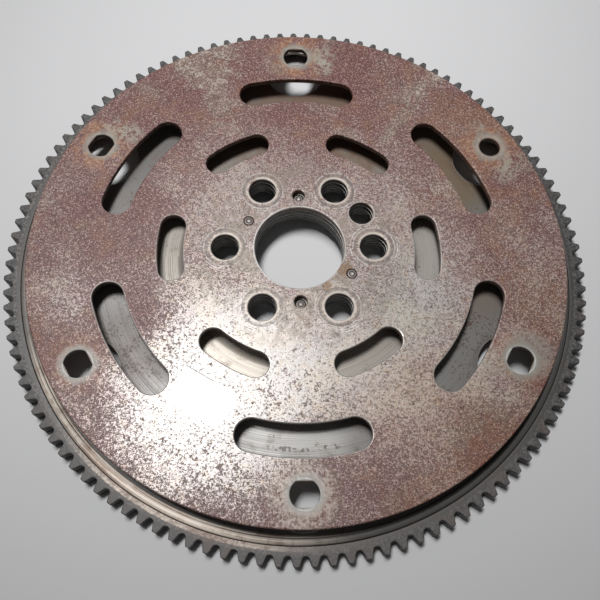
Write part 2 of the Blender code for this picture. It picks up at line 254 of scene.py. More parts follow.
def finished_piece(name, mesh, finish, slot, *nodes):
    """Turns a mesh into a piece that stands for its CAD nodes."""
    data = bpy.data.meshes.new(name)
    mesh.to_mesh(data)
    mesh.free()
    data.materials.append(finish.material)
    piece = bpy.data.objects.new(name, data)
    bpy.context.scene.collection.objects.link(piece)
    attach(piece, "root")
    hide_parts(*nodes)


class Amount:
    """A number that changes over a surface. Working with amounts adds Math nodes."""

    def __init__(self, finish, socket):
        self.finish = finish
        self.socket = socket

    def __add__(self, other):
        return self.finish.math("ADD", self, other)

    def __sub__(self, other):
        return self.finish.math("SUBTRACT", self, other)

    def __rsub__(self, other):
        return self.finish.math("SUBTRACT", other, self)

    def __mul__(self, other):
        return self.finish.math("MULTIPLY", self, other)

    __radd__ = __add__
    __rmul__ = __mul__


class Finish:
    """A procedural material, worked out in the part's own frame in millimetres."""

    def __init__(self, name):
        self.material = bpy.data.materials.new(name)
        self.material.use_nodes = True
        self.tree = self.material.node_tree
        self.shader = self.tree.nodes["Principled BSDF"]
        self.skin = None
        place = self.node("TexCoord").outputs["Object"]
        scaled = self.node("VectorMath", {"operation": "SCALE"}, {0: place, "Scale": MM})
        self.place = scaled.outputs[0]
        split = self.node("SeparateXYZ", {}, {0: self.place})
        self.x, self.y, self.z = (Amount(self, split.outputs[i]) for i in range(3))
        self.radius = self.math("SQRT", self.x * self.x + self.y * self.y)
        self.angle = self.math("ARCTAN2", self.y, self.x) * (180 / math.pi)

    def node(self, kind, settings=None, values=None):
        """Adds a node, with its settings first and then the values or links of its sockets."""
        node = self.tree.nodes.new("ShaderNode" + kind)
        for name, setting in (settings or {}).items():
            setattr(node, name, setting)
        for name, value in (values or {}).items():
            self.feed(node.inputs[name], value)
        return node

    def feed(self, socket, value):
        """Links a socket, or sets its constant."""
        if isinstance(value, Amount):
            value = value.socket
        if isinstance(value, bpy.types.NodeSocket):
            self.tree.links.new(value, socket)
        elif socket.type == "RGBA":
            socket.default_value = (*value, 1.0)
        else:
            socket.default_value = value

    def math(self, operation, *values):
        """A Math node on amounts or plain numbers."""
        node = self.node("Math", {"operation": operation}, dict(enumerate(values)))
        return Amount(self, node.outputs[0])

    def ramp(self, value, start, end, low=0.0, high=1.0):
        """Goes smoothly from low to high as the value goes from start to end."""
        values = {"Value": value, "From Min": start, "From Max": end, "To Min": low, "To Max": high}
        return Amount(self, self.node("MapRange", {"interpolation_type": "SMOOTHSTEP"}, values).outputs[0])

    def band(self, value, middle, half, soft):
        """One within half of the middle, and fading to nothing over soft."""
        away = self.math("ABSOLUTE", value - middle)
        return self.ramp(away, half + soft, half)

    def noise(self, place, per_mm, detail, rough):
        """Noise at a place."""
        values = {"Vector": place, "Scale": per_mm, "Detail": detail, "Roughness": rough}
        return Amount(self, self.node("TexNoise", {}, values).outputs[0])

    def grain(self, size, detail, rough, shift=0.0):
        """Noise with features about as wide as size, in millimetres."""
        place = self.place
        if shift:
            moved = {0: place, 1: (shift, -shift, shift)}
            place = self.node("VectorMath", {"operation": "ADD"}, moved).outputs[0]
        return self.noise(place, 1.0 / size, detail, rough)

    def turned_grain(self, per_radius, per_degree, per_height, detail, rough):
        """Noise that runs round the axis, as marks of a lathe do."""
        spun = {0: self.radius * per_radius, 1: self.angle * per_degree, 2: self.z * per_height}
        return self.noise(self.node("CombineXYZ", {}, spun).outputs[0], 1.0, detail, rough)

    def mix(self, share, first, second, how="MIX"):
        """A colour between two colours."""
        settings = {"data_type": "RGBA", "blend_type": how, "clamp_factor": True}
        return self.node("Mix", settings, {0: share, 6: first, 7: second}).outputs[2]

    def cover(self, share, colour, how="MIX"):
        """Lays a colour over the skin that is there."""
        self.skin = self.mix(share, self.skin, colour, how)

    def away(self, radius, degrees):
        """Distance from a spot of the plan view."""
        spot = at(radius, degrees)
        across = self.x - spot.x
        along = self.y - spot.y
        return self.math("SQRT", across * across + along * along)

    def patch(self, radius, degrees, size, soft):
        """One at a spot of the plan view and fading outwards."""
        return self.ramp(self.away(radius, degrees), size + soft, size)

    def patches(self, *spots):
        """The sum of patches, each with its radius, angle, size, soft edge and strength."""
        return sum(self.patch(*spot) * strength for *spot, strength in spots)

    def nearest(self, first, *others):
        """The smallest of several distances."""
        for other in others:
            first = self.math("MINIMUM", first, other)
        return first

    def spoke(self, degrees, half, soft):
        """One along a spoke from the axis, within half of its angle."""
        turned = self.math("WRAP", self.angle - degrees, -180.0, 180.0)
        return self.band(turned, 0.0, half, soft)

    def from_slot(self, circle, half_angle, first):
        """Distance from the middle line of the nearest of six slots or holes on a circle."""
        circle = circle * MM
        folded = self.math("PINGPONG", self.angle - first, 30.0)
        beyond = self.math("MAXIMUM", folded - half_angle, 0.0) * (math.pi / 180)
        square = self.radius * self.radius + circle * circle
        square = square - self.radius * self.math("COSINE", beyond) * (2 * circle)
        return self.math("SQRT", self.math("MAXIMUM", square, 0.0))

    def from_hub_walls(self):
        """Distance from the nearest wall of the bore, the bolt holes and the dowel hole."""
        bolts = self.from_slot(BOLT_CIRCLE, 0, 0) - BOLT_HOLE * MM
        dowel = self.away(BOLT_CIRCLE * MM, DOWEL_ANGLE) - DOWEL_HOLE * MM
        return self.nearest(bolts, dowel, self.radius - BORE_RADIUS * MM)

    def surface(self, roughness, metallic, bump=None, depth=0.0):
        """Feeds the shader with the skin. Bump is in millimetres, times depth."""
        self.feed(self.shader.inputs["Base Color"], self.skin)
        self.feed(self.shader.inputs["Roughness"], roughness)
        self.feed(self.shader.inputs["Metallic"], metallic)
        if bump:
            values = {"Height": bump, "Distance": depth / MM, "Strength": 1.0}
            self.feed(self.shader.inputs["Normal"], self.node("Bump", {}, values).outputs[0])


def hub_holes(sides, ledge=0.0):
    """The bore, the crankshaft's bolt holes and the dowel hole. A ledge makes them smaller."""
    holes = [ring(BORE_RADIUS - ledge, 3 * sides)]
    holes += [ring(BOLT_HOLE - ledge, sides, at(BOLT_CIRCLE, 60 * number)) for number in range(6)]
    return holes + [ring(DOWEL_HOLE - ledge, sides, at(BOLT_CIRCLE, DOWEL_ANGLE))]


def carrier_top(radius):
    """Height of the carrier's upper side."""
    if radius < HUB_EDGE + STEP_RUN:
        share = max(radius - HUB_EDGE, 0.0) / STEP_RUN
        return HUB_TOP - STEP_DROP * (1 - math.cos(math.pi * share)) / 2
    fall = (HUB_TOP - STEP_DROP - CONE_FOOT) / CONE_RUN
    return HUB_TOP - STEP_DROP - fall * (radius - HUB_EDGE - STEP_RUN)


def carrier_bottom(radius):
    """Height of the carrier's lower side."""
    return carrier_top(radius) - CARRIER_SHEET


carrier_holes = hub_holes(HUB_HOLE_SIDES, CARRIER_LEDGE)
carrier_holes += [ring(ACCESS_HOLE, ACCESS_SIDES, at(ACCESS_CIRCLE, angle)) for angle in CONVERTER_ANGLES]
carrier_holes += [ring(RIVET_SHANK, SHANK_SIDES, at(RIVET_CIRCLE, angle)) for angle in RIVET_ANGLES]
between = []
for step in range(STEP_RINGS):
    between += ring(HUB_EDGE + STEP_RUN * step / (STEP_RINGS - 1), STEP_SIDES)
for step in range(1, CONE_RINGS):
    between += ring(HUB_EDGE + STEP_RUN + CONE_RUN * step / CONE_RINGS, CONE_SIDES)
clear = []
for spot in between:
    nearest = min((spot - at(ACCESS_CIRCLE, angle)).length for angle in CONVERTER_ANGLES)
    if nearest > ACCESS_HOLE + ACCESS_MARGIN:
        clear.append(spot)
carrier_mesh, upper_rim, lower_rim = pierced_sheet(
    ring(CONE_END, CARRIER_SIDES), carrier_holes, carrier_top, carrier_bottom, CARRIER_EDGE_ROUND, clear,
    smooth=True, open_rim=True)
lip_line = [(CONE_END + out, CONE_FOOT + up) for out, up in LIP_FOOT]
lip_line += [(CONE_END + out, LIP_TOP - down) for out, down in LIP_CREST]
lip_line += [(FLANGE_WALL, LIP_TOP - SHOULDER_DROP), (FLANGE_WALL, FLANGE_END + FLANGE_BREAK)]
lip_line += [(FLANGE_WALL - FLANGE_BREAK, FLANGE_END)]
inner_wall = FLANGE_WALL - CARRIER_SHEET
lip_line += [(inner_wall + FLANGE_BREAK, FLANGE_END), (inner_wall, FLANGE_END + FLANGE_BREAK)]
shoulder = (SHOULDER_CENTRE, LIP_TOP - SHOULDER_ROUND)
inner_round = SHOULDER_ROUND - CARRIER_SHEET
lip_line += [tuple(point) for point in arc(shoulder, inner_round, 0, 90, SHOULDER_TURNS)]
lip_line.append((CONE_END + LIP_UNDERSIDE, LIP_TOP - CARRIER_SHEET))
lip_line.append((CONE_END + FOOT_UNDERSIDE, carrier_bottom(CONE_END) + FOOT_RISE))
chain = upper_rim
for radius, height in lip_line:
    turned = [carrier_mesh.verts.new((spot.x, spot.y, height)) for spot in ring(radius, CARRIER_SIDES)]
    band_between(carrier_mesh, chain, turned)
    chain = turned
band_between(carrier_mesh, chain, lower_rim)
bmesh.ops.recalc_face_normals(carrier_mesh, faces=carrier_mesh.faces)

turned_steel = Finish("turned_carrier_steel")
tooling = turned_steel.turned_grain(2.4, 0.012, 0.6, 3.0, 0.7)
tool_line = turned_steel.ramp(tooling, 0.3, 0.7)
mottle = turned_steel.grain(9.0, 4.0, 0.6)
pits = turned_steel.grain(1.4, 2.0, 0.6, 30.0)
turned_steel.skin = turned_steel.mix(tool_line, CONE_DARK, CONE_LIGHT)
hub_tone = turned_steel.mix(tool_line, HUB_DARK, HUB_LIGHT)
turned_steel.cover(turned_steel.ramp(turned_steel.radius, 100, 88), hub_tone)
back_tone = turned_steel.mix(turned_steel.ramp(turned_steel.x, -60, 20), BACK_GREY, BACK_BROWN)
turned_steel.cover(turned_steel.ramp(turned_steel.y, 30, 90) * 0.6, back_tone)
front_tone = turned_steel.mix(tool_line, FRONT_DARK, FRONT_LIGHT)
# Patches on the carrier: the cream one at 240°, where the light glances, is its colour lightened by a painted
# highlight; the one at 210° is only darker.
for spot, share, tone in (
        ((118, 210, 15, 20), 0.75, LEFT_DARK_PATCH), ((118, 268, 18, 20), 0.8, front_tone),
        ((118, 346, 6, 14), 0.6, RIGHT_BROWN), ((80, 240, 12, 20), 0.7, INNER_CREAM_AND_GLARE),
        ((80, 0, 12, 15), 0.35, INNER_GREY), ((116, 30, 16, 20), 0.8, OIL_BROWN)):
    turned_steel.cover(turned_steel.patch(*spot) * share, tone)
browned = turned_steel.ramp(mottle + turned_steel.patch(125, 85, 25, 90) * 0.35, 0.5, 0.85)
turned_steel.cover(browned * 0.7 * turned_steel.ramp(turned_steel.y, -20, 60, 0.5, 1.0), TARNISH)
spotty = turned_steel.patches((118, 330, 16, 22, 0.12), (118, 210, 16, 20, 0.12))
pitted = turned_steel.ramp(pits + mottle * 0.5 + spotty, 0.93, 1.0)
dotted = turned_steel.ramp(turned_steel.grain(2.6, 1.0, 0.5, 77.0), 0.52, 0.60)
dotted = dotted * turned_steel.band(turned_steel.radius, 120, 1.0, 1.0) * turned_steel.spoke(271, 8, 2)
pit_tone = turned_steel.mix(turned_steel.ramp(turned_steel.x, -20, 60), PIT_BLACK, PIT_BROWN)
turned_steel.cover(turned_steel.math("MAXIMUM", pitted * 0.8, dotted * 0.7), pit_tone)
lip = turned_steel.ramp(turned_steel.radius, 165.8, 166.4)
runs = turned_steel.ramp(turned_steel.turned_grain(0.12, 1.3, 0.0, 3.0, 0.6), 0.56, 0.70)
streaks = turned_steel.turned_grain(1.3, 0.05, 0.0, 2.0, 0.6)
streaked = turned_steel.ramp(streaks + (mottle - 0.5) * 0.6, 0.48, 0.62)
warm = turned_steel.mix(streaked, LIP_CREAM, LIP_BROWN)
warm = turned_steel.mix(runs * 0.7, warm, LIP_RUN)
# A dark line painted on the lip at 167.6 mm stands in for its shade.
warm = turned_steel.mix(turned_steel.band(turned_steel.radius, 167.6, 0.15, 0.25), warm, LIP_GROOVE_SHADE)
turned_steel.cover(lip * 0.85, warm)
# The lighter lip at the front left, where the light falls on it, is a painted highlight.
painted_lip_highlight = turned_steel.mix(streaked, LIP_PAINTED_HIGHLIGHT, LIP_PAINTED_HIGHLIGHT_BROWN)
turned_steel.cover(lip * turned_steel.patch(170, 240, 20, 45) * 0.7, painted_lip_highlight)
# The lip is grey on the left; on the right it is darkened as a painted shadow of the plate.
grey_and_shadowed = turned_steel.patch(170, 180, 40, 50) * 0.9
grey_and_shadowed = turned_steel.math("MAXIMUM", turned_steel.ramp(turned_steel.x, -40, 38), grey_and_shadowed)
grey_and_shadow_tone = turned_steel.mix(turned_steel.ramp(turned_steel.x, -60, 60), SOOT_LEFT, LIP_PAINTED_SHADOW)
turned_steel.cover(lip * grey_and_shadowed * 0.95, grey_and_shadow_tone)
# The lip's flank under the plate's edge is painted near black as shade on the left, and lighter on the right
# as painted fill light in its shadow.
flank_shade_and_fill = turned_steel.mix(turned_steel.ramp(turned_steel.x, 20, 80), FLANK_PAINTED_SHADE, FLANK_PAINTED_FILL)
turned_steel.cover(turned_steel.ramp(turned_steel.z, 9.7, 9.3) * lip, flank_shade_and_fill)
hub_wall = turned_steel.from_hub_walls()
# The walls of the bore, bolt holes and dowel hole are painted near black as shade.
turned_steel.cover(turned_steel.ramp(hub_wall, -0.18, -0.26), HOLE_WALL_PAINTED_SHADE)
# A near-white ring painted on the ledge at each hub hole's edge is a painted highlight.
turned_steel.cover(turned_steel.band(hub_wall, 0.02, 0.16, 0.08), LEDGE_PAINTED_HIGHLIGHT)
from_access = turned_steel.from_slot(ACCESS_CIRCLE, 0, 30) - ACCESS_HOLE * MM
# A pale ring painted round the edge of each access hole is a painted highlight.
turned_steel.cover(turned_steel.band(from_access, 0.1, 0.2, 0.2) * 0.7, ACCESS_EDGE_PAINTED_HIGHLIGHT)
carrier_roughness = turned_steel.ramp(tooling, 0.3, 0.7, 0.5, 0.38) + browned * 0.15 + lip * 0.1
turned_steel.surface(carrier_roughness, 0.35 - lip * 0.15, tooling, 0.05)
finished_piece("carrier_pressing", carrier_mesh, turned_steel, "carrier_plate", "carrier_plate")


# The ring gear is a band of hardened steel with 115 stub teeth, shaped in a gear cutter, with its
# edges broken. It was shrunk on the carrier's flange hot, which left it dark.
GEAR_TEETH = 115
GEAR_FIRST = 2.53
GEAR_TIP = 0.18215
GEAR_ROOT = 0.17645
GEAR_BORE = 0.1715
GEAR_BORE_SIDES = 360
GEAR_TOP = 0.010
TOOTH_BASE = 0.0061
GEAR_EDGE_ROUND = 0.0005
TOOTH_FLANK = [(GEAR_ROOT + 0.00012, TOOTH_BASE / 2 + 0.0010), (GEAR_ROOT + 0.0005, TOOTH_BASE / 2 + 0.0004)]
TOOTH_FLANK += [(GEAR_ROOT + 0.0011, TOOTH_BASE / 2 - 0.00005), (GEAR_ROOT + 0.0020, 0.00272)]
TOOTH_FLANK += [(GEAR_ROOT + 0.0032, 0.0023), (GEAR_TIP - 0.0009, 0.0017), (GEAR_TIP - 0.0003, 0.00145)]
TOOTH_FLANK += [(GEAR_TIP - 0.00003, 0.0011)]
TOOTH_DARK, TOOTH_LIGHT = (0.047, 0.046, 0.045), (0.138, 0.135, 0.133)
GEAR_BROWN = (0.11, 0.078, 0.068)
ROOT_DARK, ROOT_LIGHT = (0.07, 0.06, 0.056), (0.30, 0.275, 0.26)
LAND_LEFT, LAND_RIGHT_SHADED = (0.085, 0.082, 0.079), (0.068, 0.066, 0.063)
LAND_TAN_AND_SHEEN, LAND_BROWN = (0.38, 0.315, 0.265), (0.20, 0.14, 0.11)
GROOVE_BROWN = (0.14, 0.11, 0.09)
FRONT_GREY = (0.20, 0.175, 0.165)
GEAR_SIDE_PAINTED_SHADE = (0.03, 0.028, 0.027)


def gear_outline():
    """The teeth's outline: bulging flanks between rounded tips and roots."""
    outline = []
    half_pitch = 180 / GEAR_TEETH
    side = [(radius, math.degrees(half / radius)) for radius, half in TOOTH_FLANK]
    for tooth in range(GEAR_TEETH):
        middle = GEAR_FIRST + 2 * half_pitch * tooth
        outline += [at(radius, middle - turn) for radius, turn in side]
        outline.append(at(GEAR_TIP, middle))
        outline += [at(radius, middle + turn) for radius, turn in reversed(side)]
        outline.append(at(GEAR_ROOT, middle + half_pitch))
    return outline


gear_mesh = pierced_sheet(
    gear_outline(), [ring(GEAR_BORE, GEAR_BORE_SIDES)], lambda radius: GEAR_TOP, lambda radius: 0.0,
    GEAR_EDGE_ROUND)

gear_steel = Finish("dark_gear_steel")
coarse = gear_steel.grain(1.6, 3.0, 0.65)
scale = gear_steel.grain(12.0, 3.0, 0.5, 7.0)
gear_steel.skin = gear_steel.mix(gear_steel.ramp(coarse, 0.35, 0.7), TOOTH_DARK, TOOTH_LIGHT)
gear_steel.cover(gear_steel.ramp(scale, 0.5, 0.75) * 0.5, GEAR_BROWN)
roots = gear_steel.ramp(gear_steel.radius, 176.8, 175.6) * gear_steel.ramp(gear_steel.x, 80, -20, 0.05, 0.35)
gear_steel.cover(roots, gear_steel.mix(gear_steel.ramp(coarse, 0.4, 0.62), ROOT_DARK, ROOT_LIGHT))
land = gear_steel.ramp(gear_steel.radius + (coarse - 0.5) * 1.5, 174.6, 174.0)
# The land is darker on the right, as a painted shadow of the plate.
gear_steel.cover(land * 0.9, gear_steel.mix(gear_steel.ramp(gear_steel.x, -40, 60), LAND_LEFT, LAND_RIGHT_SHADED))
# The tan land at the front left is its own colour, brightened by a painted reflection of the light.
tan_and_sheen_tone = gear_steel.mix(gear_steel.ramp(scale + coarse * 0.5, 0.62, 0.85), LAND_TAN_AND_SHEEN, LAND_BROWN)
gear_steel.cover(land * gear_steel.patch(173, 246, 35, 55) * 0.95, tan_and_sheen_tone)
gear_steel.cover(gear_steel.band(gear_steel.radius, 172.6, 0.1, 0.25) * 0.4, GROOVE_BROWN)
gear_steel.cover(gear_steel.ramp(gear_steel.y, -60, -150) * 0.2, FRONT_GREY)
# The gear's side walls are painted near black as shade.
gear_steel.cover(gear_steel.ramp(gear_steel.z, 9.6, 9.2), GEAR_SIDE_PAINTED_SHADE)
gear_steel.surface(gear_steel.ramp(coarse, 0.3, 0.7, 0.5, 0.62) - land * 0.1, 0.3, coarse, 0.10)
finished_piece("ring_gear_band", gear_mesh, gear_steel, "ring_gear", "ring_gear")


# The spacers are two flat steel rings, turned and drilled, one on each side of the carrier's hub.
# The upper one lifts the flex plate clear of the dish, and the lower one seats on the crankshaft.
SPACER_RADIUS = 0.060
SPACER_SIDES = 144
UPPER_SPACER = (0.0179, 0.0216)
LOWER_SPACER = (0.0101, 0.0148)
SPACER_EDGE_ROUND = 0.00045
SPACER_LEDGE = 0.00018
RIVET_HOLE = 0.0031
RIVET_SIDES = 24
SPACER_DARK, SPACER_LIGHT = (0.12, 0.115, 0.11), (0.30, 0.29, 0.28)
BORE_SHADE_DARK, BORE_SHADE_LIGHT = (0.022, 0.02, 0.018), (0.09, 0.085, 0.08)

spacer_steel = Finish("spacer_steel")
film = spacer_steel.grain(3.0, 4.0, 0.6)
facing_rings = {"wave_type": "RINGS", "rings_direction": "Z"}
waves = spacer_steel.node("TexWave", facing_rings, {0: spacer_steel.place, "Scale": 0.7})
facing = Amount(spacer_steel, waves.outputs[1])
spacer_steel.skin = spacer_steel.mix(spacer_steel.ramp(film, 0.35, 0.7), SPACER_DARK, SPACER_LIGHT)
hub_wall = spacer_steel.from_hub_walls()
# The walls of the spacers' bore and bolt holes are painted dark as shade.
bore_wall_shade = spacer_steel.mix(spacer_steel.ramp(film, 0.4, 0.65), BORE_SHADE_DARK, BORE_SHADE_LIGHT)
spacer_steel.cover(spacer_steel.ramp(hub_wall, -0.06, -0.14), bore_wall_shade)
# A near-white ring painted on the ledge at each hub hole's edge is a painted highlight.
spacer_steel.cover(spacer_steel.band(hub_wall, 0.10, 0.14, 0.08), LEDGE_PAINTED_HIGHLIGHT)
spacer_steel.surface(spacer_steel.ramp(film, 0.3, 0.7, 0.38, 0.55), 0.8, film + facing * 0.2, 0.06)
spacer_holes = hub_holes(HUB_HOLE_SIDES, SPACER_LEDGE)
spacer_holes += [ring(RIVET_HOLE, RIVET_SIDES, at(RIVET_CIRCLE, angle)) for angle in RIVET_ANGLES]
for name, node, (low, high) in (
        ("upper_spacer_ring", "upper_spacer", UPPER_SPACER),
        ("lower_spacer_ring", "lower_spacer", LOWER_SPACER)):
    mesh = pierced_sheet(
        ring(SPACER_RADIUS, SPACER_SIDES), spacer_holes, lambda radius: high, lambda radius: low,
        SPACER_EDGE_ROUND)
    finished_piece(name, mesh, spacer_steel, "spacers", node)


# The flex plate is a flat disc of 4 mm spring steel that carries the torque converter. It was
# blanked and pierced in a press, which rolled its edges over. Its bare faces have a thin speckled
# rust, with grey rings where bolts and the converter's pads were clamped.
PLATE_RADIUS = 0.164
PLATE_BOTTOM = 0.0219
PLATE_TOP = 0.0259
PLATE_EDGE_ROUND = 0.0007
CONVERTER_WIDTH = 0.0164
CONVERTER_HEIGHT = 0.0137
LOCATING_RADIUS = 0.0068
OUTER_SLOT = (0.11775, 0.0185, 14.15)
INNER_SLOT = (0.07875, 0.0155, 10.4)
LONG_RIVETS = {"rivet_long_left": 150, "rivet_long_right": 330}
SHORT_RIVETS = {"rivet_short_back": 90, "rivet_short_front": 270}
RIVET_WINDOW = 0.0039
PLATE_SIDES = 480
BOLT_HOLE_SIDES = 60
LOCATING_SIDES = 48
WINDOW_SIDES = 32
SLOT_STEPS, SLOT_END_STEPS = 30, 24
CONVERTER_STEPS = 20
MAROON_DARK, MAROON_LIGHT = (0.128, 0.041, 0.037), (0.415, 0.278, 0.248)
ORANGE_DARK, ORANGE_LIGHT = (0.17, 0.067, 0.038), (0.40, 0.25, 0.19)
KHAKI_DARK, KHAKI_LIGHT = (0.17, 0.12, 0.09), (0.45, 0.375, 0.31)
BARE_DARK, BARE_LIGHT = (0.17, 0.142, 0.132), (0.52, 0.49, 0.465)
DULL_DARK, DULL_LIGHT = (0.19, 0.158, 0.128), (0.54, 0.48, 0.42)
BLOT_RUSTY, BLOT_WORN = (0.07, 0.022, 0.02), (0.15, 0.085, 0.07)
FLECK_RUSTY, FLECK_WORN = (0.53, 0.40, 0.365), (0.74, 0.70, 0.66)
YELLOWED, PURPLED = (1.0, 0.82, 0.64), (1.0, 0.85, 0.90)
COOLED, WARMED = (0.93, 1.0, 1.0), (1.0, 0.94, 0.90)
HALO_DARK, HALO_LIGHT = (0.25, 0.10, 0.048), (0.42, 0.245, 0.155)
RESIDUE = (0.33, 0.295, 0.245)
GREENED = (0.275, 0.26, 0.225)
PAD_CREAM, PAD_LINE = (0.52, 0.46, 0.40), (0.13, 0.085, 0.055)
WASHER_DULL, WASHER_SHEEN = (0.27, 0.26, 0.225), (0.50, 0.47, 0.43)
WASHER_EDGE, HOLE_EDGE_HIGHLIGHT = (0.36, 0.37, 0.33), (0.55, 0.56, 0.54)
SCRAPED = (0.52, 0.46, 0.41)
CLAMP_DARK, CLAMP_BRIGHT = (0.17, 0.145, 0.125), (0.66, 0.62, 0.58)
CLAMP_GRIME, CLAMP_WITNESS = (0.13, 0.11, 0.10), (0.80, 0.78, 0.75)
HUB_STAIN = (0.20, 0.155, 0.12)
BOLT_CREAM, WALL_EDGE = (0.60, 0.525, 0.45), (0.60, 0.56, 0.52)
FLAKE_DARK, FLAKE_LIGHT = (0.13, 0.068, 0.032), (0.30, 0.185, 0.10)
BORE_RIM_PAINTED_HIGHLIGHT, SLOT_EDGE_WEAR_AND_HIGHLIGHT = (0.75, 0.74, 0.72), (0.68, 0.65, 0.62)
LABEL_PAPER, LABEL_SHADOW = (0.68, 0.68, 0.68), (0.06, 0.045, 0.04)
LABEL_X, LABEL_Y = -56.4, -92.9
LABEL_COSINE, LABEL_SINE = 0.857, 0.515
LABEL_HALF_LENGTH, LABEL_HALF_WIDTH = 17.2, 10.7
CUT_DARK_SHADED, CUT_BROWN = (0.045, 0.026, 0.02), (0.17, 0.09, 0.06)


def curved_slot(size, angle):
    """A slot round the axis with full round ends, anticlockwise."""
    circle, width, half_angle = size
    start, end = angle - half_angle, angle + half_angle
    outer = arc((0, 0), circle + width / 2, start, end, SLOT_STEPS)
    inner = arc((0, 0), circle - width / 2, end, start, SLOT_STEPS)
    last = arc(at(circle, end), width / 2, end, end + 180, SLOT_END_STEPS)
    first = arc(at(circle, start), width / 2, start + 180, start + 360, SLOT_END_STEPS)
    return outer + last[1:-1] + inner + first[1:-1]


def converter_hole(angle):
    """A round hole with two flats that face the rim and the hub."""
    centre = at(CONVERTER_CIRCLE, angle)
    reach = math.degrees(math.asin(CONVERTER_HEIGHT / CONVERTER_WIDTH))
    right = arc(centre, CONVERTER_WIDTH / 2, angle - 90 - reach, angle - 90 + reach, CONVERTER_STEPS)
    left = arc(centre, CONVERTER_WIDTH / 2, angle + 90 - reach, angle + 90 + reach, CONVERTER_STEPS)
    return right + left


plate_holes = hub_holes(BOLT_HOLE_SIDES)
plate_holes.append(ring(LOCATING_RADIUS, LOCATING_SIDES, at(CONVERTER_CIRCLE, CONVERTER_ANGLES[0])))
plate_holes += [converter_hole(angle) for angle in CONVERTER_ANGLES[1:]]
plate_holes += [curved_slot(OUTER_SLOT, angle) for angle in CONVERTER_ANGLES]
plate_holes += [curved_slot(INNER_SLOT, 60 * number) for number in range(6)]
plate_holes += [ring(RIVET_HOLE, RIVET_SIDES, at(RIVET_CIRCLE, angle)) for angle in LONG_RIVETS.values()]
plate_holes += [ring(RIVET_WINDOW, WINDOW_SIDES, at(RIVET_CIRCLE, angle)) for angle in SHORT_RIVETS.values()]
plate_mesh = pierced_sheet(
    ring(PLATE_RADIUS, PLATE_SIDES), plate_holes, lambda radius: PLATE_TOP, lambda radius: PLATE_BOTTOM,
    PLATE_EDGE_ROUND)

plate_steel = Finish("rusted_flex_plate_steel")
x, y, z, radius = plate_steel.x, plate_steel.y, plate_steel.z, plate_steel.radius
ramp, band, cover = plate_steel.ramp, plate_steel.band, plate_steel.cover
speck = plate_steel.grain(0.7, 1.0, 0.6)
fine = plate_steel.grain(0.95, 2.0, 0.7, 91.0)
blot = plate_steel.grain(1.35, 3.0, 0.65, 53.0)
grit = plate_steel.grain(1.5, 3.0, 0.6, 41.0)
tint = plate_steel.grain(4.0, 3.0, 0.7, 131.0)
clump = plate_steel.grain(5.0, 3.0, 0.6, 11.0)
hue = plate_steel.grain(20.0, 4.0, 0.65, 67.0)
cloud = plate_steel.grain(26.0, 3.0, 0.6, 23.0)
smears = plate_steel.spoke(54, 0.6, 2.6) * 0.7 + plate_steel.spoke(117, 1.5, 4.5) * 0.8
smears = smears + plate_steel.spoke(24, 0.8, 2.5) * 0.5
smears = smears * ramp(radius, 82, 98) * ramp(clump, 0.3, 0.55)

# Where the rust is worn down to the metal, and its hues: maroon, orange or khaki.
wear = ramp(radius, 50, 110, 0.50, 0.22) - ramp(y, 40, 100) * 0.05 + smears * 0.06
wear = wear + (cloud - 0.5) * 0.5 + (clump - 0.5) * 0.5
wear = wear + plate_steel.patches(
    (58, 185, 10, 25, -0.05), (70, 90, 15, 30, -0.12), (75, 274, 12, 30, 0.12), (85, 285, 12, 30, 0.2),
    (92, 352, 12, 30, 0.2), (100, 85, 12, 25, 0.05), (100, 255, 15, 40, 0.15), (103, 357, 12, 20, -0.06),
    (105, 240, 25, 50, 0.65), (112, 170, 15, 30, -0.2), (112, 206, 10, 22, -0.25), (118, 315, 25, 50, 0.32),
    (125, 85, 20, 50, -0.12), (140, 134, 20, 30, -0.08), (145, 195, 8, 22, 0.15), (146, 175, 15, 25, -0.05),
    (147, 18, 12, 25, -0.06), (147, 250, 12, 25, 0.06), (150, 0, 10, 40, 0.1), (150, 229, 14, 26, -0.05),
    (155, 312, 12, 30, -0.12), (157, 311, 10, 20, -0.3), (163, 203, 8, 25, -0.3), (163, 330, 8, 25, -0.25))
worn_off = ramp(wear, -0.1, 1.0)
light_share = ramp(speck * 0.45 + grit * 0.55 + (worn_off - 0.5) * 0.2, 0.435, 0.565)
orange = hue + ramp(radius, 146, 160) * plate_steel.patch(158, 305, 30, 40) * 0.35
orange = orange + plate_steel.patches(
    (150, 30, 20, 45, 0.2), (147, 22, 6, 12, -0.3), (146, 346, 12, 18, 0.3), (142, 309, 14, 20, 0.22))
orange = ramp(orange, 0.48, 0.66)
khaki = cloud + smears * 0.3 + plate_steel.patches(
    (152, 112, 10, 16, 0.25), (60, 215, 10, 40, 0.15), (75, 285, 20, 45, 0.12), (118, 318, 20, 50, 0.15))
khaki = ramp(khaki, 0.54, 0.72)
rust_dark = plate_steel.mix(khaki * 0.7, plate_steel.mix(orange, MAROON_DARK, ORANGE_DARK), KHAKI_DARK)
rust_light = plate_steel.mix(khaki * 0.7, plate_steel.mix(orange, MAROON_LIGHT, ORANGE_LIGHT), KHAKI_LIGHT)
dark_skin = plate_steel.mix(worn_off, rust_dark, plate_steel.mix(khaki, BARE_DARK, DULL_DARK))
light_skin = plate_steel.mix(worn_off, rust_light, plate_steel.mix(khaki, BARE_LIGHT, DULL_LIGHT))
plate_steel.skin = plate_steel.mix(light_share, dark_skin, light_skin)

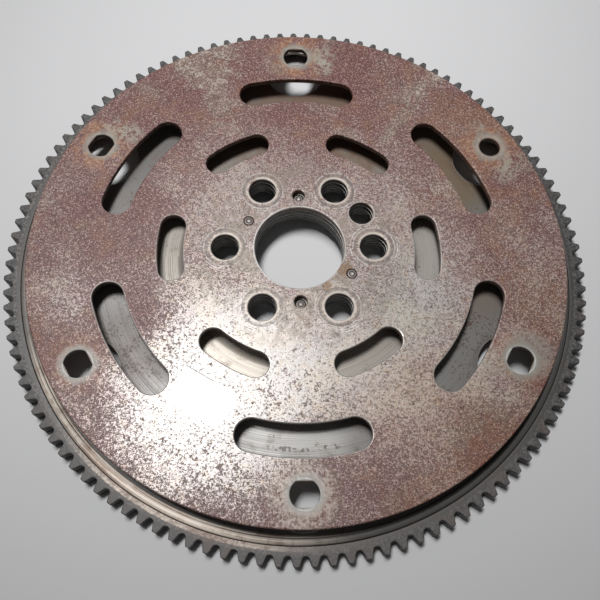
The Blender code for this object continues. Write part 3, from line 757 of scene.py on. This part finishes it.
# Dark blots, pale flecks and slight tints over the speckle.
blotting = plate_steel.patches(
    (150, 250, 12, 25, 0.05), (103, 268, 12, 25, 0.04), (100, 216, 12, 20, 0.04), (105, 240, 18, 16, -0.03))
blotting = blotting - worn_off * 0.02 - ramp(radius, 100, 60) * 0.03
heavy = ramp(blot + (clump - 0.5) * 0.45 + blotting, 0.54, 0.63)
cover(heavy * 0.85, plate_steel.mix(worn_off, BLOT_RUSTY, BLOT_WORN))
fleck = ramp(fine, 0.56, 0.64) * (1 - heavy * 0.6)
cover(fleck * 0.8, plate_steel.mix(worn_off, FLECK_RUSTY, FLECK_WORN))
cover(ramp(tint, 0.52, 0.68) * 0.55, YELLOWED, "MULTIPLY")
cover(ramp(tint, 0.48, 0.34) * 0.5, PURPLED, "MULTIPLY")
cover(plate_steel.patch(68, 334, 12, 35) * 0.9, COOLED, "MULTIPLY")
cover(plate_steel.patch(135, 303, 25, 30), WARMED, "MULTIPLY")

# Marks that the converter's pads and bolts left round the outer holes, with a painted sheen and painted
# highlights on them towards the front.
from_converter = plate_steel.from_slot(CONVERTER_CIRCLE, 0, 30)
halo = ramp(from_converter + (cloud - 0.5) * 20, 24, 11) * ramp(clump, 0.35, 0.6)
halo = halo * ramp(y, -130, 0, 0.35, 1.0)
cover(halo * 0.8, plate_steel.mix(ramp(grit, 0.4, 0.6), HALO_DARK, HALO_LIGHT))
residue = plate_steel.patches(
    (152.5, 24, 3, 7, 1.0), (143, 21.5, 2, 8, 1.0), (150, 36, 1.5, 6, 0.7), (146, 144, 4, 8, 1.0),
    (135, 142.5, 3, 7, 1.0), (133, 324, 3, 8, 0.7), (149, 83, 5, 7, 1.0), (138, 82, 3, 6, 1.0))
cover(residue * ramp(clump * 0.5 + grit * 0.5, 0.44, 0.52) * 0.75, RESIDUE)
greened = plate_steel.patch(149, 332, 9, 9) * ramp(clump * 0.6 + grit * 0.4, 0.36, 0.50)
cover(greened * 0.72, GREENED)
padded = plate_steel.patch(147, 269.5, 15, 7) * ramp(clump * 0.4 + grit * 0.6, 0.38, 0.56)
cover(padded * 0.6, PAD_CREAM)
pad_line = band(plate_steel.away(147, 269.5), 20.5, 0.4, 0.6) * ramp(x, 6, 14) * ramp(clump, 0.35, 0.5)
cover(pad_line * 0.7, PAD_LINE)
washer = ramp(from_converter + (clump - 0.5) * 6, 13.0, 10.0) * ramp(grit, 0.75, 0.45)
# The washer marks are real; their lighter tone towards the front left is a painted sheen.
cover(washer * 0.65, plate_steel.mix(ramp(y, -20, -90) * ramp(x, 60, 0), WASHER_DULL, WASHER_SHEEN))
cover(band(from_converter, 9.0, 0.4, 0.9) * ramp(clump, 0.3, 0.6) * 0.35, WASHER_EDGE)
# A pale line painted round the converter holes' edges, stronger towards the front, is a painted highlight.
cover(band(from_converter, 8.3, 0.25, 0.35) * ramp(y, 20, -70, 0.15, 0.85), HOLE_EDGE_HIGHLIGHT)
scraped = plate_steel.spoke(113, 6, 4) + plate_steel.spoke(54, 1.5, 2.5)
cover(scraped * ramp(radius, 122, 140) * ramp(clump * 0.45 + grit * 0.7, 0.60, 0.66) * 0.5, SCRAPED)

# Marks that the crankshaft's bolts left round the hub, flaked rust at the bore, and a painted highlight on
# the bore's left rim.
from_crank = plate_steel.from_slot(BOLT_CIRCLE, 0, 0)
cover(band(from_crank, 11.5, 0.5, 0.6) * ramp(clump, 0.62, 0.38) * 0.75, CLAMP_DARK)
cover(band(from_crank, 12.9, 0.2, 0.5) * ramp(clump * 0.75 + grit * 0.25, 0.42, 0.56) * 0.8, CLAMP_BRIGHT)
witness = band(from_crank, 14.6, 0.15, 0.3) * ramp(hue, 0.50, 0.56)
witness = witness + band(from_crank, 16.0, 0.1, 0.3) * ramp(hue, 0.54, 0.60)
cover(witness * ramp(clump, 0.35, 0.5) * 0.75, CLAMP_WITNESS)
cover(band(from_crank, 12.0, 0.2, 0.6) * ramp(clump, 0.6, 0.4) * 0.7, CLAMP_GRIME)
cover(ramp(clump * 0.55 + grit * 0.2 + cloud * 0.3, 0.51, 0.58) * ramp(radius, 74, 54) * 0.65, HUB_STAIN)
cover(ramp(from_crank, 10.5, 9.7) * ramp(clump * 0.7 + grit * 0.3, 0.32, 0.5) * 0.8, BOLT_CREAM)
cover(ramp(plate_steel.from_hub_walls(), 1.1, 0.6) * ramp(clump, 0.25, 0.5) * 0.6, WALL_EDGE)
flakes = plate_steel.nearest(plate_steel.away(31, 331) - 2.5, plate_steel.away(29, 300))
flakes = ramp(flakes + (clump - 0.5) * 14, 3.0, 1.8)
cover(flakes * 0.85, plate_steel.mix(ramp(speck, 0.4, 0.6), FLAKE_DARK, FLAKE_LIGHT))
# A pale line on the bore's left rim is a painted highlight.
cover(band(radius, 28.0, 0.25, 0.3) * ramp(x, -5, -18) * 0.8, BORE_RIM_PAINTED_HIGHLIGHT)

# Slot edges, worn and brightened by a painted highlight, a blank paper label with a painted shadow along one
# edge, and the cut walls, dark brown and deepened as painted shade.
slot_edges = []
for (circle, width, half_angle), first in ((OUTER_SLOT, 30), (INNER_SLOT, 0)):
    slot_edges.append(plate_steel.from_slot(circle, half_angle, first) - width / 2 * MM)
# The slot edges are worn; their pale colour, stronger towards the front, is also a painted highlight.
edge_wear_and_highlight = ramp(plate_steel.nearest(*slot_edges), 0.9, 0.3)
edge_wear_and_highlight = edge_wear_and_highlight * ramp(y, 50, -20) * ramp(x, 105, 70, 0.25, 1.0)
cover(edge_wear_and_highlight * 0.8, SLOT_EDGE_WEAR_AND_HIGHLIGHT)
label_across = (x - LABEL_X) * LABEL_COSINE - (y - LABEL_Y) * LABEL_SINE
label_along = (x - LABEL_X) * LABEL_SINE + (y - LABEL_Y) * LABEL_COSINE
beyond_label = plate_steel.math(
    "MAXIMUM", plate_steel.math("ABSOLUTE", label_across) - LABEL_HALF_LENGTH,
    plate_steel.math("ABSOLUTE", label_along) - LABEL_HALF_WIDTH)
label = ramp(beyond_label + (clump - 0.5), 0.8, -0.4)
cover(label * 0.9, LABEL_PAPER)
cover(band(label_along, 11.0, 0.15, 0.3) * band(label_across, -8.0, 9.0, 0.5), LABEL_SHADOW)
# The cut walls are dark brown, painted darker still as shade.
wall = ramp(z, 25.3, 24.8) * ramp(z, 22.1, 22.7)
cover(wall, plate_steel.mix(ramp(clump, 0.35, 0.6), CUT_DARK_SHADED, CUT_BROWN))
dull = plate_steel.math("MAXIMUM", (1 - light_share) * 0.8, heavy)
dull = plate_steel.math("MAXIMUM", dull, wall) * (1 - label * 0.8)
edge_wear_and_highlight = edge_wear_and_highlight * (1 - wall)
plate_roughness = dull * 0.23 + 0.325 - edge_wear_and_highlight * 0.08
plate_steel.surface(plate_roughness, dull * -0.09 + 0.10 + edge_wear_and_highlight * 0.6, speck + grit * 0.5, 0.04)
finished_piece("flex_plate_disc", plate_mesh, plate_steel, "flex_plate", "flex_plate")


# The rivets are soft steel, headed cold, flush with the stack at both ends and dimpled by the set.
# Two pass through the whole stack, and two stop under the flex plate's windows.
RIVET_DIMPLE = [(0.0006, -0.00062), (0.0010, -0.0003), (0.0013, -0.00004), (0.0017, 0.0), (0.0025, -0.0001)]
RIVET_HEAD = 0.0028
RIVET_HEAD_EDGE = 0.0004
RIVET_BODY = 0.0021
RIVET_FOOT = [(RIVET_BODY, 0.0148), (RIVET_HEAD, 0.0106), (0.0024, 0.0103)]
LONG_HEAD_TOP, LONG_NECK = 0.0257, 0.0219
SHORT_HEAD_TOP, SHORT_NECK = 0.0214, 0.0179
RIVET_DARK, RIVET_LIGHT = (0.40, 0.36, 0.34), (0.62, 0.57, 0.54)
DIMPLE_PAINTED_SHADE, HEAD_RING = (0.03, 0.025, 0.022), (0.35, 0.31, 0.29)

rivet_steel = Finish("rivet_steel")
bruise = rivet_steel.grain(0.8, 3.0, 0.6)
from_rivet = rivet_steel.nearest(*(rivet_steel.away(RIVET_CIRCLE * MM, angle) for angle in RIVET_ANGLES))
rivet_steel.skin = rivet_steel.mix(rivet_steel.ramp(bruise, 0.35, 0.7), RIVET_DARK, RIVET_LIGHT)
# The dimple in each head is painted black as shade.
rivet_steel.cover(rivet_steel.ramp(from_rivet, 1.0, 1.4), DIMPLE_PAINTED_SHADE)
rivet_steel.cover(rivet_steel.band(from_rivet, 2.3, 0.15, 0.3), HEAD_RING)
rivet_steel.surface(rivet_steel.ramp(bruise, 0.3, 0.7, 0.42, 0.6), 0.3, bruise, 0.04)
for name, angle in (LONG_RIVETS | SHORT_RIVETS).items():
    head_top, neck = (LONG_HEAD_TOP, LONG_NECK) if name in LONG_RIVETS else (SHORT_HEAD_TOP, SHORT_NECK)
    section = [(distance, head_top + height) for distance, height in RIVET_DIMPLE]
    section += [(RIVET_HEAD, head_top - RIVET_HEAD_EDGE), (RIVET_BODY, neck)] + RIVET_FOOT
    middle = at(RIVET_CIRCLE, angle)
    mesh = bmesh.new()
    chain = None
    for distance, height in section:
        turned = [mesh.verts.new((spot.x, spot.y, height)) for spot in ring(distance, RIVET_SIDES, middle)]
        if chain:
            band_between(mesh, chain, turned)
        else:
            mesh.faces.new(turned).smooth = True
        chain = turned
    mesh.faces.new(chain)
    bmesh.ops.recalc_face_normals(mesh, faces=mesh.faces)
    finished_piece(name + "_headed", mesh, rivet_steel, "rivets", name)


# A plain pale floor, and one long soft light overhead that glances off the plate.
# The camera looks down on the part from the front, as the photographer did.
FLOOR_REACH = 4
FLOOR_GREY = (0.635, 0.636, 0.645)
LIGHT_PLACE = (-0.295, 0.400, 2.0)
LIGHT_TARGET = (0.015, 0.182, 0.0)
LIGHT_LENGTH = 0.70
LIGHT_WIDTH = 0.32
LIGHT_SPREAD = 39.4
LIGHT_POWER = 2.36
ROOM_LIGHT = 0.075
CAMERA_PLACE = (-0.0164, -0.1851, 0.3969)
CAMERA_TURNS = ((-0.384633, "X"), (0.0351905, "Y"), (0.0191302, "Z"))
CAMERA_LENS = 40.67
CAMERA_SENSOR = 36.0

floor_mesh = bmesh.new()
square = ((-1, -1), (1, -1), (1, 1), (-1, 1))
corners = [floor_mesh.verts.new((FLOOR_REACH * x, FLOOR_REACH * y, 0.0)) for x, y in square]
floor_mesh.faces.new(corners)
floor_data = bpy.data.meshes.new("pale_floor")
floor_mesh.to_mesh(floor_data)
floor_mesh.free()
floor_finish = Finish("pale_floor_paint")
floor_finish.skin = FLOOR_GREY
floor_finish.surface(0.85, 0.0)
floor_data.materials.append(floor_finish.material)
floor = bpy.data.objects.new("pale_floor", floor_data)
bpy.context.scene.collection.objects.link(floor)
floor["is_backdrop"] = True

softbox = bpy.data.lights.new("main_softbox", "AREA")
softbox.shape = "RECTANGLE"
softbox.size = LIGHT_LENGTH
softbox.size_y = LIGHT_WIDTH
softbox.spread = math.radians(LIGHT_SPREAD)
softbox.energy = LIGHT_POWER
lamp = bpy.data.objects.new("main_softbox", softbox)
lamp.location = LIGHT_PLACE
lamp.rotation_euler = (Vector(LIGHT_TARGET) - Vector(LIGHT_PLACE)).to_track_quat("-Z", "Y").to_euler()
bpy.context.scene.collection.objects.link(lamp)
world = bpy.data.worlds.new("studio")
world.use_nodes = True
world.node_tree.nodes["Background"].inputs["Color"].default_value = (1.0, 1.0, 1.0, 1.0)
world.node_tree.nodes["Background"].inputs["Strength"].default_value = ROOM_LIGHT
bpy.context.scene.world = world

camera_data = bpy.data.cameras.new("camera")
camera_data.sensor_width = CAMERA_SENSOR
camera_data.lens = CAMERA_LENS
camera = bpy.data.objects.new("camera", camera_data)
turn = Matrix.Identity(3)
for angle, axis in CAMERA_TURNS:
    turn = turn @ Matrix.Rotation(angle, 3, axis)
camera.matrix_world = Matrix.Translation(CAMERA_PLACE) @ turn.transposed().to_4x4()
bpy.context.scene.collection.objects.link(camera)
bpy.context.scene.camera = camera
bpy.context.scene.view_settings.view_transform = "Standard"

low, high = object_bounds()
